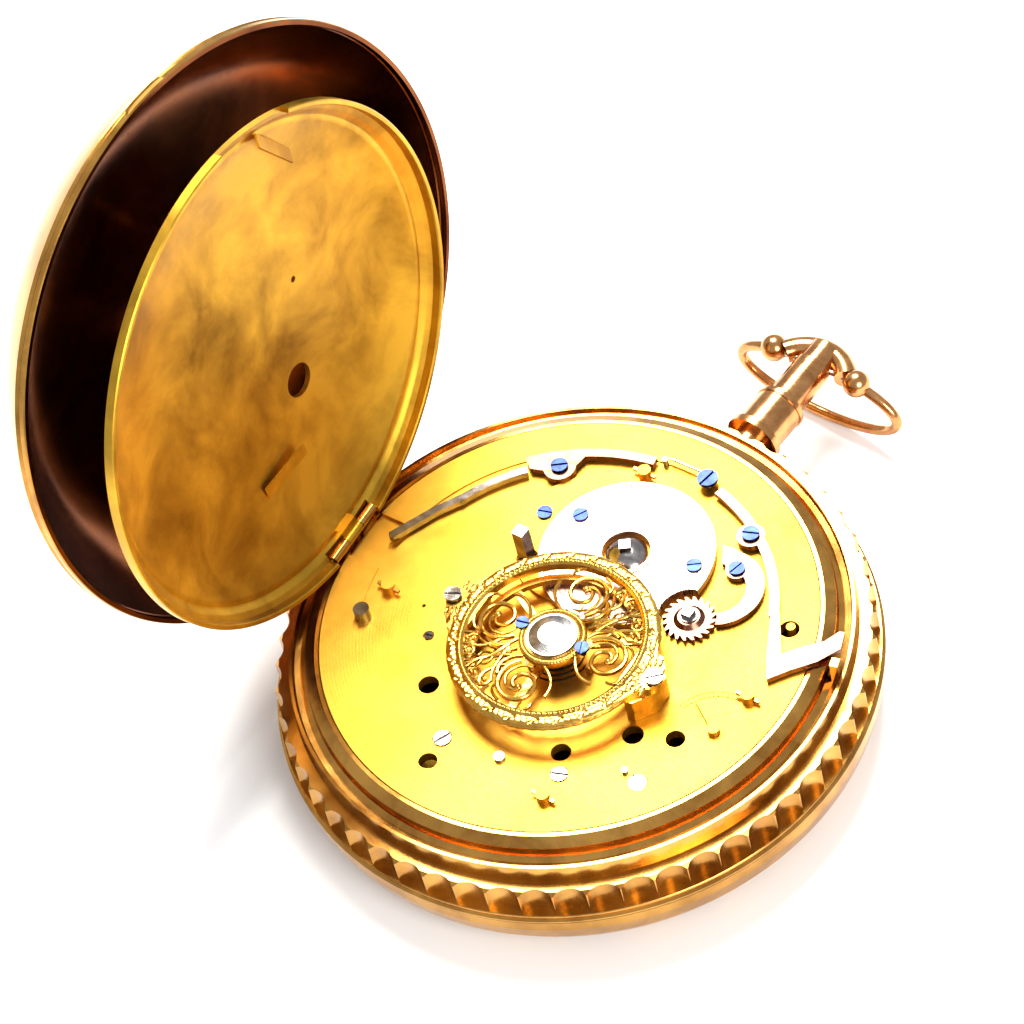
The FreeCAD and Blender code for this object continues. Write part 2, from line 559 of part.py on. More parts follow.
# fusee, its great wheel and winding square
steps = []
for i in range(5):
    r = size("fusee_r") - 0.55 * i
    z = 7.65 + 0.5 * i
    steps += [(r, z), (r, z + 0.15), (r - 0.35, z + 0.2), (r - 0.35, z + 0.5)]
fusee_cone = turned([(0, 7.65)] + steps + [(0, 10.15)], "fusee_turning")
at(fusee_cone, "wind_x", "wind_y", 0)
node("fusee_cone", cut(fusee_cone, cyl(0.75, 4, "wind_x", "wind_y", 7)))
node("great_wheel", cut(toothed(size("great_r"), 60, 7.1, 0.45, 0.4, FX, FY),
                        cyl(0.75, 2, "wind_x", "wind_y", 6.5),
                        *[ring(5.2, 1.8, 1, FX, FY, 6.9, a, 75) for a in (5, 95, 185, 275)]))
node("fusee_arbor", fuse(cyl(0.75, 5.55, "wind_x", "wind_y", 6.45),
                         cyl(0.4, 1.1, "wind_x", "wind_y", 5.5),
                         box("wind_square", "wind_square", 4.3, "wind_x-wind_square/2",
                             "wind_y-wind_square/2", 11.9)))

# mainspring barrel, set-up ratchet and fusee chain
drum = cut(cyl("drum_r", "drum_top-drum_z", "rat_x", "rat_y", "drum_z"),
           cyl("drum_r-0.35", "drum_top-drum_z-0.7", "rat_x", "rat_y", "drum_z+0.35"),
           cyl(0.83, 8, "rat_x", "rat_y", 5))
node("mainspring_barrel", drum)
coil = arc_path(RX, RY, 1.1, 5.3, 0, 360 * 9, 220)
node("mainspring", ribbon(coil, 0.16, 7.35, 2.3))
node("barrel_arbor", fuse(cyl(0.8, 6.6, "rat_x", "rat_y", 6.35), cyl(0.45, 0.9, "rat_x", "rat_y", 5.5),
                          box(0.95, 0.95, 0.75, "rat_x-0.475", "rat_y-0.475", 12.75)))
node("setup_ratchet", fuse(
    cut(toothed(size("rat_r"), int(size("rat_teeth")), 11.95, 0.5, 0.42, RX, RY, 0.3),
        cyl(0.8, 2, "rat_x", "rat_y", 11.5)),
    cut(cone(1.4, 1.0, 0.35, "rat_x", "rat_y", 12.45), cyl(0.8, 2, "rat_x", "rat_y", 11.5))))
run_x, run_y = FX - RX, FY - RY
gap = math.hypot(run_x, run_y)
drum_line, cone_line = size("drum_r") + 0.2, size("fusee_r") - 0.55
lean = math.degrees(math.atan2(run_y, run_x)) - math.degrees(math.acos((drum_line - cone_line) / gap))
chain_path = (arc_path(RX, RY, drum_line, drum_line, lean - 160, lean, 40)
              + arc_path(FX, FY, cone_line, cone_line, lean, lean + 150, 36))
node("fusee_chain", ribbon(chain_path, 0.26, 8.4, 0.45))

# --- balance ----------------------------------------------------------------
def on_balance(obj):
    whole = group(obj)
    whole.Placement = FreeCAD.Placement(V(BX, BY, 0), FreeCAD.Rotation(V(0, 0, 1), size("cock_tilt")))
    return whole


rim = ring("bal_r", "bal_r-0.6", 0.6, 0, 0, "bal_z")
arm_group = []
for a in (30, 150, 270):
    arm = group(box("bal_r-0.3", 0.7, 0.35, 0, -0.35, "bal_z+0.1"))
    arm.Placement = FreeCAD.Placement(V(0, 0, 0), FreeCAD.Rotation(V(0, 0, 1), a))
    arm_group.append(arm)
node("balance_wheel", on_balance(cut(fuse(rim, cyl(0.95, 0.5, 0, 0, "bal_z+0.05"), *arm_group),
                                     cyl(0.35, 2, 0, 0, 13))))
node("verge_staff", on_balance(fuse(cyl(0.35, 6.9, 0, 0, 7.4), cyl(0.2, 0.6, 0, 0, 6.85),
                                    cyl(0.2, 0.95, 0, 0, 14.25), cyl(0.75, 0.5, 0, 0, 12.55),
                                    box(0.6, 0.2, 0.7, 0, -0.1, 9.3),
                                    box(0.2, 0.6, 0.7, -0.1, -0.6, 7.45))))
hairspring = arc_path(0, 0, 0.85, 3.0, 0, 360 * 4, 130)
node("balance_spring", on_balance(ribbon(hairspring, 0.08, 12.65, 0.2)))
node("spring_stud", on_balance(box(0.5, 0.5, 1.0, 3.04, -0.25, 11.85)))


def cock_outline(z, h):
    return slab([(11.0, 0.75), (8.06, 5.03), (-8.06, 5.03), (-11.0, 0.75),
                 (-11.0, -0.75), (-8.06, -5.03), (8.06, -5.03), (11.0, -0.75)], z, h, "cock_ears")


thick = "cock_top-cock_z"
table = fuse(cyl("cock_r", thick, 0, 0, "cock_z"), cock_outline("cock_z", thick),
             cyl(0.95, thick, "cock_ear", 0, "cock_z"), cyl(0.95, thick, "-cock_ear", 0, "cock_z"))
window = ring("cock_window_r", "cock_hub_r", "%s+0.4" % thick, 0, 0, "cock_z-0.2")
scrolls = []
for i in range(4):
    a = math.radians(90.0 * i)
    x, y = 5.5 * math.cos(a), 5.5 * math.sin(a)
    scrolls.append(ring(2.62, 2.2, 0.7, x, y, "cock_z+0.1"))
    scrolls.append(ring(1.35, 0.95, 0.7, 6.4 * math.cos(a), 6.4 * math.sin(a), "cock_z+0.1"))
    b = a + math.radians(45)
    scrolls.append(ring(0.95, 0.6, 0.7, 6.9 * math.cos(b), 6.9 * math.sin(b), "cock_z+0.1"))
    leaf = group(box(5.3, 0.55, 0.7, 2.8, -0.275, "cock_z+0.1"))
    leaf.Placement = FreeCAD.Placement(V(0, 0, 0), FreeCAD.Rotation(V(0, 0, 1), 90.0 * i + 45))
    scrolls.append(leaf)
foot_shape = [(10.95, 0.8), (9.6, 2.9), (9.0, 2.9), (9.0, -2.9), (9.6, -2.9), (10.95, -0.8)]
feet = []
for sign in (1, -1):
    corners = [(sign * x, y) for x, y in foot_shape]
    feet.append(slab(corners[::sign], "plate_top-plate_sunk", "cock_z-plate_top+plate_sunk+0.1",
                     "cock_foot"))
hub_ears = [cyl(0.8, thick, 3.1, 0, "cock_z"), cyl(0.8, thick, -3.1, 0, "cock_z")]
beads = [ring(9.35, 8.75, 0.15, 0, 0, "cock_top"), ring(8.35, 8.1, 0.15, 0, 0, "cock_top"),
         ring(2.98, 2.55, 0.15, 0, 0, "cock_top")]
cock_cuts = [cyl(0.27, 4, 0, 0, 12.5)]
for side in (1, -1):
    cock_cuts += [cyl(0.45, 5, "%d*cock_ear" % side, 0, 11.6),
                  cyl(0.3, 1.5, 3.1 * side, 0, "cock_top-0.8"),
                  cyl(0.66, 0.5, 3.1 * side, 0, "cock_top")]
cock_solid = fuse(cut(table, window), *scrolls, *hub_ears, *feet, *beads)
node("balance_cock", on_balance(cut(cock_solid, *cock_cuts)))


def screw(x, y, z, head_r, head_h, shank_r, shank_h, turn):
    """Slotted screw, its head standing on height z."""
    whole = fuse(cyl(head_r, head_h, 0, 0, z),
                 cyl(shank_r, "(%s)+0.05" % shank_h, 0, 0, "(%s)-(%s)" % (z, shank_h)))
    slot_z = "(%s)+0.5*(%s)" % (z, head_h)
    placed = group(cut(whole, box(2.4 * head_r, 0.24, 1, -1.2 * head_r, -0.12, slot_z)))
    placed.Placement = FreeCAD.Placement(V(x, y, 0), FreeCAD.Rotation(V(0, 0, 1), turn))
    return placed


node("cock_screws", on_balance(group(screw(10.45, 0, "cock_top", 0.8, 0.3, 0.45, 3.4, 40),
                                     screw(-10.45, 0, "cock_top", 0.8, 0.3, 0.45, 3.4, 25))))
cap_screws = on_balance(group(screw(3.1, 0, "cock_top", 0.62, 0.28, 0.3, 0.7, 110),
                              screw(-3.1, 0, "cock_top", 0.62, 0.28, 0.3, 0.7, 10)))
node("steel_cap", on_balance(cut(fuse(cyl("cap_r", 0.22, 0, 0, "cock_top"),
                                      cone("cap_r-0.15", 1.2, 0.2, 0, 0, "cock_top+0.22")),
                                 cyl(0.55, 1, 0, 0, "cock_top-0.2"))))
node("cap_jewel", on_balance(cyl(0.55, 0.36, 0, 0, "cock_top")))

# --- regulator ----------------------------------------------------------------
fusee_gap = cyl(1.05, 2, "wind_x", "wind_y", 11)
ratchet_gap = cyl("rat_r+0.35", 3, "rat_x", "rat_y", 11)
cock_gap = cyl("bal_r-4.0", 3, "bal_x", "bal_y", 11)
base_z = "plate_top-plate_sunk"
base_h = "reg_z-(%s)" % base_z
DISC_SCREWS = ((-4.9, 9.6), (7.4, 9.55))
BASE_SCREW = (-8.45, 8.75)
node("regulator_base", cut(
    fuse(cyl(7.45, base_h, -2.9, 8.3, base_z), cyl(7.6, base_h, "reg_x", "reg_y", base_z),
         cyl(1.9, base_h, "wind_x", "wind_y", base_z)),
    fusee_gap, ratchet_gap, cyl(0.83, 2, "reg_x", "reg_y", 11), cock_gap,
    *[cyl(0.3, 3, x, y, 11) for x, y in DISC_SCREWS + (BASE_SCREW,)]))
node("regulator_disc", cut(fuse(cyl("reg_r", "reg_top-reg_z-0.1", "reg_x", "reg_y", "reg_z"),
                                cyl("reg_r-0.15", "reg_top-reg_z", "reg_x", "reg_y", "reg_z"),
                                ring("reg_hole_r+0.35", "reg_hole_r", "reg_top-reg_z+0.12",
                                     "reg_x", "reg_y", "reg_z")),
                           cyl("reg_hole_r", 3, "reg_x", "reg_y", 11), ratchet_gap,
                           *[cyl(0.3, 3, x, y, 11) for x, y in DISC_SCREWS]))
round_cap = cut(ball(2.6, 0, 0, 10.95), box(6, 6, 6, -3, -3, 6.25))
cap_trim = new("Part::MultiCommon", "round_cap")
cap_trim.Shapes = [round_cap, cyl(1.9, 3, 0, 0, 12.25)]
key_square = group(box(1.0, 1.0, 0.8, -0.5, -0.5, 13.3))
arbor = group(fuse(cap_trim, key_square, cyl(0.8, 1.5, 0, 0, 10.85)))
arbor.Placement = FreeCAD.Placement(V(size("reg_x"), size("reg_y"), 0), FreeCAD.Rotation(V(0, 0, 1), 35))
node("regulator_arbor", arbor)
node("blued_screws", group(cap_screws, screw(*DISC_SCREWS[0], "reg_top", 0.72, 0.2, 0.3, 1.1, 60),
                           screw(*DISC_SCREWS[1], "reg_top", 0.72, 0.2, 0.3, 1.1, 35),
                           screw(*BASE_SCREW, "reg_z", 0.72, 0.25, 0.3, 0.6, 15)))

# --- click, hammers and their springs ---------------------------------------------
click_outer = cut(cyl(4.15, 0.5, 10.25, 8.9, 12.0), cyl(2.75, 2, 10.15, 8.6, 11.5),
                  slab([(4, 15), (4, 0), (11.0, 0), (10.6, 8.0), (9.3, 11.0), (8.0, 13.4)],
                       11.5, 2, "click_trim"))
click_nose = slab([(8.15, 13.0), (9.4, 13.15), (11.2, 12.7), (10.2, 10.5), (9.3, 11.5)],
                  12.0, 0.5, "click_nose")
click_gap = cyl("rat_r+0.03", 2, "rat_x", "rat_y", 11.5)
node("click_spring", cut(fuse(click_outer, click_nose, cyl(1.05, 0.5, 10.7, 11.3, 12.0)), click_gap,
                         cyl(0.3, 2, 10.7, 11.3, 11)))

HAMMER_L = (-10.05, 13.55)
HAMMER_R = (9.85, 14.95)
arm_h = "arm_thick"
CLAMP = [(-13.4, 12.9), (-12.4, 12.1), (-8.9, 13.2), (-8.6, 15.6), (-11.0, 15.0)]
left_arm = fuse(ring("arm_out_r", "arm_in_r", arm_h, 0, 0, "arm_z", 98, 38),
                cyl(1.5, arm_h, *HAMMER_L, "arm_z"), slab(CLAMP, "arm_z", arm_h))
node("left_hammer_arm", cut(left_arm, cyl(0.45, 3, *HAMMER_L, 11)))
left_blade = fuse(ring(17.65, 16.95, arm_h, 0, 0, "arm_z", 136.5, 23),
                  slab([(-15.6, 6.6), (-16.2, 6.95), (-17.9, 4.1), (-19.75, 0.0), (-19.4, -0.4),
                        (-19.0, -0.3), (-17.2, 3.9)], "arm_z", arm_h))
node("left_hammer_blade", cut(left_blade, slab(CLAMP, "arm_z-0.1", "arm_thick+0.2"),
                              ring("arm_out_r+1", "arm_in_r", 2, 0, 0, 11.5, 98, 38)))
right_arm = fuse(ring("arm_out_r+0.15", "arm_in_r+0.15", arm_h, 0, 0, "arm_z", 27, 49),
                 cyl(1.3, arm_h, *HAMMER_R, "arm_z"),
                 slab([(16.2, 8.2), (16.75, 8.9), (19.25, 5.2), (20.45, 6.75), (21.8, 8.1),
                       (22.4, 9.6), (23.1, 9.8), (23.6, 9.3), (23.4, 8.0), (22.4, 6.0),
                       (20.8, 4.1), (19.55, 2.35), (18.2, 4.5)], "arm_z", arm_h))
node("right_hammer", cut(right_arm, cyl(0.45, 3, *HAMMER_R, 11), ring(28, 24.8, 2, 0, 0, 11.5)))
node("arm_screws", group(screw(*HAMMER_L, "arm_z+arm_thick+0.05", 0.8, 0.28, 0.42, 1.5, 35),
                         screw(*HAMMER_R, "arm_z+arm_thick+0.05", 0.8, 0.28, 0.42, 1.5, 20),
                         screw(10.7, 11.3, 12.5, 0.75, 0.25, 0.3, 1.4, 75),
                         screw(2.95, 18.5, 12.7, 0.95, 0.35, 0.4, 1.6, 80)))
node("hammer_spring", fuse(cut(cyl(0.8, 0.25, 2.95, 18.5, 12.45), cyl(0.4, 2, 2.95, 18.5, 12)),
                           box(3.9, 0.14, 0.25, -1.5, 19.0, 12.45), box(0.3, 0.5, 0.25, 2.1, 18.75, 12.45)))

# --- plate furniture ------------------------------------------------------------
node("plate_screws", group(*[screw(x, y, "plate_top-0.4", r, 0.35, 0.3, 0.9, turn)
                             for x, y, r, turn in EDGE_SCREWS]))
studs = [cyl(r, 1.5, x, y, 10.75) for x, y, r in SMALL_PINS]
studs += [cyl(0.22, 2.0, -1.85, 18.7, 10.8), cyl(0.28, 0.7, -1.85, 18.7, 12.05)]
node("steel_studs", group(studs[0], studs[1], fuse(studs[2], studs[3])))
pointer_stud = fuse(cyl(0.55, 0.75, 18.2, -4.0, "plate_top-plate_sunk"),
                    cyl(0.25, 1.0, 18.2, -4.0, 10.9),
                    strip((18.2, -4.0, 12.1), (15.15, -2.0, 12.05), 0.35, 0.2))
node("gilt_studs", group(pointer_stud, cyl(0.4, 6.05, 18.2, 8.3, 6.3)))
node("lock_post", fuse(cyl(0.75, 1.3, -16.55, -8.4, "plate_top-plate_sunk"),
                       cyl(0.45, 0.9, -16.55, -8.4, 11.0)))
SMALL_BORES = [(TX, TY, 0.23), (KX, KY, 0.23), (0, 0, 0.33), (-16.55, -8.4, 0.45), (18.2, -4.0, 0.25),
               (10.7, 11.3, 0.3), (2.95, 18.5, 0.4), (-1.85, 18.7, 0.22), HAMMER_L + (0.42,),
               HAMMER_R + (0.42,)] + [spot + (0.3,) for spot in DISC_SCREWS + (BASE_SCREW,)]
plate_cuts += [cyl(r, 3, x, y, 10) for x, y, r in SMALL_BORES]
plate_cuts += [on_balance(cyl(0.45, 3, "cock_ear", 0, 10)), on_balance(cyl(0.45, 3, "-cock_ear", 0, 10))]
node("top_plate", cut(cyl("plate_r", "plate_top-plate_z", 0, 0, "plate_z"), *plate_cuts))

# --- dial side -------------------------------------------------------------------
WX, WY = MINUTE_POST
node("dial_ring", ring("dial_r", "dial_r-0.8", "pillar_plate_z-dial_z-dial_thick", 0, 0,
                       "dial_z+dial_thick"))
node("dial", cut(cyl("dial_r", "dial_thick", 0, 0, "dial_z"), cyl(1.35, 2, 0, 0, 2)))
node("hour_wheel", cut(fuse(toothed(4.17, 48, 3.7, 0.25, 0.3), cyl(1.15, 1.65, 0, 0, 2.05)),
                       cyl(0.8, 4, 0, 0, 1.5)))
node("minute_wheel", cut(fuse(toothed(3.87, 36, 4.4, 0.25, 0.35, WX, WY),
                              toothed(1.02, 12, 3.65, 0.8, 0.25, WX, WY)),
                         cyl(0.38, 3, WX, WY, 3)))
HANDS = (("hour_hand", 9.5, 0.8, 1.75, 1.15, 2.1, 32), ("minute_hand", 14.5, 0.55, 1.2, 0.45, 1.4, 137))
for label, length, width, hub_r, bore, z, a in HANDS:
    hand = fuse(cyl(hub_r, 0.2, 0, 0, z), box(length, width, 0.2, 0, "-%s/2" % width, z),
                ring(1.3, 0.75, 0.2, 0.7 * length, 0, z))
    hand = cut(hand, cyl(bore, 1, 0, 0, z - 0.4), cyl(0.75, 1, 0.7 * length, 0, z - 0.4))
    turned_hand = group(hand)
    turned_hand.Placement = FreeCAD.Placement(V(0, 0, 0), FreeCAD.Rotation(V(0, 0, 1), a))
    node(label, turned_hand)

doc.recompute()
for obj in doc.Objects:
    if "Invalid" in obj.State or "Error" in obj.State:
        raise RuntimeError("%s is not valid: %s" % (obj.Label, obj.State))
os.makedirs("parts", exist_ok=True)
for obj in NODES:
    if obj.Shape.isNull() or not obj.Shape.isValid():
        raise RuntimeError("%s has no valid shape" % obj.Label)
    obj.Shape.exportStep("parts/%s.step" % obj.Label)
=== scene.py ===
import json
import math

import bmesh
import bpy
from mathutils import Matrix, Vector


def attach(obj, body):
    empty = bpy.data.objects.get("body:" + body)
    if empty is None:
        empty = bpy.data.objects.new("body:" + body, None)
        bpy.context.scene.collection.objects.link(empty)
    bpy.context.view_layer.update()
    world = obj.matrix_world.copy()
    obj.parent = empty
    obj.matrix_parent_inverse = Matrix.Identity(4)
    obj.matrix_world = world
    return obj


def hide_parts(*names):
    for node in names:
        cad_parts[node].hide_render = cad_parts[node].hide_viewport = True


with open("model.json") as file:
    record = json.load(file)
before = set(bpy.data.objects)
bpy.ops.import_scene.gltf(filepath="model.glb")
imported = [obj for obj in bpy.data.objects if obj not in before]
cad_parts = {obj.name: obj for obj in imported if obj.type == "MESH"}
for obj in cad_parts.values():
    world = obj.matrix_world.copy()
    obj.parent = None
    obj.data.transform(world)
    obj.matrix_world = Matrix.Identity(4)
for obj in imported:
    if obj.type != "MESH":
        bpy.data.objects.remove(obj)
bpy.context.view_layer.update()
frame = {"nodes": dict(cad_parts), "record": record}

MM = 0.001
NODES = frame["nodes"]


# ---------------------------------------------------------------- helpers
def vec(x, y, z):
    return Vector((x * MM, y * MM, z * MM))


def link(name, bm, mat, smooth=True):
    """Turn a bmesh in millimetres into a piece."""
    bmesh.ops.recalc_face_normals(bm, faces=bm.faces)
    me = bpy.data.meshes.new(name)
    bm.to_mesh(me)
    bm.free()
    me.transform(Matrix.Scale(MM, 4))
    ob = bpy.data.objects.new(name, me)
    bpy.context.scene.collection.objects.link(ob)
    if smooth:
        for poly in me.polygons:
            poly.use_smooth = True
    me.materials.append(mat)
    return ob


def sharpen(ob, degrees=35):
    """Keep creases sharper than this."""
    me = ob.data
    bm = bmesh.new()
    bm.from_mesh(me)
    for edge in bm.edges:
        if len(edge.link_faces) == 2 and edge.calc_face_angle(0) > math.radians(degrees):
            edge.smooth = False
    bm.to_mesh(me)
    bm.free()
    return ob


# ---------------------------------------------------------------- materials
class Mat:
    """Small builder for node materials, working in object space millimetres."""

    def __init__(self, name):
        self.mat = bpy.data.materials.new(name)
        self.mat.use_nodes = True
        self.tree = self.mat.node_tree
        self.nodes = self.tree.nodes
        self.bsdf = self.nodes["Principled BSDF"]
        coord = self.nodes.new("ShaderNodeTexCoord")
        scale = self.nodes.new("ShaderNodeVectorMath")
        scale.operation = "SCALE"
        scale.inputs["Scale"].default_value = 1000.0
        self.join(coord.outputs["Object"], scale.inputs[0])
        self.mm = scale.outputs[0]

    def join(self, a, b):
        self.tree.links.new(a, b)

    def set(self, **sockets):
        """Give shader sockets a constant or a node's output."""
        for name, value in sockets.items():
            socket = self.bsdf.inputs[name.replace("_", " ")]
            if isinstance(value, (int, float, tuple)):
                socket.default_value = value
            else:
                self.join(value, socket)
        return self

    def noise(self, scale, detail=4.0, rough=0.55, coords=None, distort=0.0):
        node = self.nodes.new("ShaderNodeTexNoise")
        node.inputs["Scale"].default_value = scale
        node.inputs["Detail"].default_value = detail
        node.inputs["Roughness"].default_value = rough
        node.inputs["Distortion"].default_value = distort
        self.join(coords or self.mm, node.inputs["Vector"])
        return node.outputs["Fac"]

    def stretch(self, sx, sy, sz):
        node = self.nodes.new("ShaderNodeMapping")
        node.inputs["Scale"].default_value = (sx, sy, sz)
        self.join(self.mm, node.inputs["Vector"])
        return node.outputs[0]

    def ramp(self, fac, *stops):
        node = self.nodes.new("ShaderNodeValToRGB")
        ramp = node.color_ramp
        while len(ramp.elements) < len(stops):
            ramp.elements.new(0.5)
        for element, (pos, col) in zip(ramp.elements, stops):
            element.position = pos
            element.color = (*col, 1) if isinstance(col, tuple) else (col, col, col, 1)
        self.join(fac, node.inputs[0])
        return node.outputs[0]

    def math(self, op, a, b=0.0, c=0.0):
        node = self.nodes.new("ShaderNodeMath")
        node.operation = op
        for socket, value in zip(node.inputs, (a, b, c)):
            if isinstance(value, (int, float)):
                socket.default_value = value
            else:
                self.join(value, socket)
        return node.outputs[0]

    def mix(self, fac, a, b):
        node = self.nodes.new("ShaderNodeMix")
        node.data_type = "RGBA"
        for name, value in (("Factor", fac), ("A", a), ("B", b)):
            sockets = [s for s in node.inputs if s.name == name and s.enabled]
            if isinstance(value, (int, float)):
                sockets[0].default_value = value
            elif isinstance(value, tuple):
                sockets[0].default_value = (*value, 1)
            else:
                self.join(value, sockets[0])
        return [s for s in node.outputs if s.enabled][0]

    def bump(self, height, strength=0.2, distance=0.00005):
        node = self.nodes.new("ShaderNodeBump")
        node.inputs["Strength"].default_value = strength
        node.inputs["Distance"].default_value = distance
        self.join(height, node.inputs["Height"])
        self.join(node.outputs[0], self.bsdf.inputs["Normal"])
        return node.outputs[0]

    def polar(self, x, y):
        """Distance and angle about an upright line, in millimetres and turns."""
        sep = self.nodes.new("ShaderNodeSeparateXYZ")
        self.join(self.mm, sep.inputs[0])
        dx = self.math("SUBTRACT", sep.outputs[0], x)
        dy = self.math("SUBTRACT", sep.outputs[1], y)
        squares = self.math("ADD", self.math("MULTIPLY", dx, dx), self.math("MULTIPLY", dy, dy))
        r = self.math("SQRT", squares)
        turn = self.math("DIVIDE", self.math("ARCTAN2", dy, dx), 2 * math.pi)
        return r, turn


def metal(name, light, dark, rough=(0.12, 0.3), scale=0.35, scratch=0.06, scratch_scale=6.0,
          stretch=(1, 1, 1)):
    """Metal with cloudy tarnish, fine rubbing marks and uneven polish."""
    m = Mat(name)
    cloud = m.noise(scale, 6.0, 0.6, distort=0.4)
    fine = m.noise(scratch_scale, 3.0, 0.7, m.stretch(*stretch))
    m.set(
        Base_Color=m.ramp(cloud, (0.3, dark), (0.62, light)),
        Metallic=1.0,
        Roughness=m.ramp(m.mix(0.5, cloud, fine), (0.35, rough[0]), (0.65, rough[1])),
    )
    m.bump(fine, scratch)
    return m


CASE = metal("gold_case", (0.62, 0.32, 0.07), (0.34, 0.15, 0.03),
             (0.12, 0.26), 0.22, 0.04, 9.0, (1, 1, 0.25)).mat
# painted shade: a darker brown copy of the case gold for the inside of the back cover, standing in for
# the shade in its dish
LID_INSIDE_SHADE = metal("lid_inside_painted_shade", (0.22, 0.070, 0.020), (0.085, 0.022, 0.008),
               (0.12, 0.24), 0.12, 0.03, 4.0).mat
CUV = metal("cuvette_gold", (0.68, 0.38, 0.035), (0.30, 0.155, 0.015),
            (0.28, 0.44), 0.13, 0.14, 5.0, (4, 0.2, 0.6)).mat
ROSE = metal("rose_gold", (0.64, 0.32, 0.12), (0.38, 0.16, 0.055),
             (0.12, 0.26), 0.4, 0.05, 8.0, (1, 0.3, 1)).mat
BRASS = metal("bright_brass", (0.66, 0.38, 0.08), (0.40, 0.20, 0.035),
              (0.2, 0.35), 0.5, 0.08, 9.0).mat
COCK = metal("cock_gilt", (0.76, 0.46, 0.09), (0.44, 0.22, 0.035), (0.12, 0.28), 0.5, 0.06, 9.0).mat
SILVER = metal("silvered", (0.60, 0.40, 0.31), (0.42, 0.26, 0.19), (0.26, 0.40), 0.4, 0.10, 12.0)
STEEL = metal("polished_steel", (0.42, 0.39, 0.37), (0.18, 0.16, 0.15),
              (0.10, 0.28), 0.6, 0.06, 12.0, (1, 4, 1)).mat
WARM = metal("warm_steel", (0.27, 0.125, 0.08), (0.12, 0.05, 0.03),
             (0.16, 0.32), 0.7, 0.05, 10.0, (1, 3, 1)).mat
DARK = metal("engraving_dark", (0.07, 0.035, 0.012), (0.03, 0.014, 0.006),
             (0.5, 0.7), 1.0, 0.05, 8.0).mat
BLUE = metal("blued_steel", (0.020, 0.034, 0.13), (0.008, 0.010, 0.045),
             (0.10, 0.22), 0.9, 0.04, 12.0).mat


def gilt_plate():
    """Frosted gilding: fine stipple, faint turned circles, darker tarnish in patches."""
    m = metal("gilt_plate", (0.72, 0.38, 0.045), (0.42, 0.21, 0.020), (0.34, 0.48), 0.10, 0.0, 3.0)
    r = m.polar(0.0, 0.0)[0]
    stipple = m.noise(9.0, 3.0, 0.7)
    rings = m.math("SINE", m.math("MULTIPLY", r, 21.0))
    height = m.math("ADD", stipple, m.math("MULTIPLY", rings, 0.05))
    m.bump(height, 0.5, 0.00004)
    return m.mat


GILT = gilt_plate()


def engraved_disc():
    """Regulator disc: fine strokes near the edge and a band of scrolled lines, filled dark."""
    m = SILVER
    r, turn = m.polar(1.1, 8.1)

    def band(lo, hi):
        return m.math("MULTIPLY", m.math("GREATER_THAN", r, lo), m.math("LESS_THAN", r, hi))

    def strokes(count, share):
        return m.math("LESS_THAN", m.math("FRACT", m.math("MULTIPLY", turn, count)), share)

    scale = m.math("MULTIPLY", band(7.05, 7.55), strokes(96, 0.16))
    major = m.math("MULTIPLY", band(6.75, 7.55), strokes(12, 0.035))
    outer_lines = m.math("ADD", band(7.55, 7.62), band(7.0, 7.06))
    inner_lines = m.math("ADD", band(3.42, 3.5), band(6.55, 6.6))
    lines = m.math("ADD", outer_lines, inner_lines)
    wave = m.math("MULTIPLY", m.math("SINE", m.math("MULTIPLY", turn, 2 * math.pi * 18)), 0.55)
    away = m.math("ABSOLUTE", m.math("SUBTRACT", m.math("SUBTRACT", r, 5.1), wave))
    away2 = m.math("ABSOLUTE", m.math("ADD", m.math("SUBTRACT", r, 5.1), m.math("MULTIPLY", wave, 0.6)))
    scroll_lines = m.math("LESS_THAN", away, 0.07)
    scroll_lines2 = m.math("LESS_THAN", away2, 0.045)
    scrolls = m.math("ADD", lines, m.math("ADD", scroll_lines, scroll_lines2))
    cuts = m.math("MINIMUM", m.math("ADD", m.math("ADD", scale, major), scrolls), 1.0)
    base = m.bsdf.inputs["Base Color"].links[0].from_socket
    m.set(Base_Color=m.mix(cuts, base, (0.10, 0.045, 0.03)))
    m.bump(m.math("MULTIPLY", cuts, -1.0), 0.5, 0.00006)
    return m.mat


SILVER = engraved_disc()
RUBY = Mat("ruby").set(Roughness=0.06)
RUBY.set(Base_Color=RUBY.ramp(RUBY.noise(2.0), (0.3, (0.42, 0.01, 0.04)), (0.7, (0.75, 0.05, 0.10))))
RUBY = RUBY.mat
ENAMEL = Mat("enamel")
enamel_tone = ENAMEL.ramp(ENAMEL.noise(0.5), (0.3, (0.86, 0.85, 0.80)), (0.7, (0.93, 0.92, 0.88)))
ENAMEL.set(Base_Color=enamel_tone, Roughness=0.12)
ENAMEL = ENAMEL.mat
GLASS = Mat("glass")
GLASS.set(Base_Color=(0.95, 0.97, 0.97, 1), Transmission_Weight=1.0, IOR=1.47,
          Roughness=GLASS.ramp(GLASS.noise(3.0), (0.4, 0.01), (0.8, 0.06)))
GLASS = GLASS.mat

BY_SLOT = {"case_gold": CASE, "rose_gold": ROSE, "gilt_plate": GILT, "bright_brass": BRASS,
           "silvered": SILVER, "steel": STEEL, "warm_steel": WARM, "blued_steel": BLUE,
           "enamel": ENAMEL, "glass": GLASS, "ruby": RUBY}
slots = {s["node"]: s["material_slot"] for s in frame["record"]["subparts"]}
for node_name, ob in NODES.items():
    ob.data.materials.clear()
    ob.data.materials.append(BY_SLOT[slots[node_name]])


def paint(node, mat):
    NODES[node].data.materials[0] = mat


paint("cuvette", CUV)
paint("cuvette_springs", CUV)


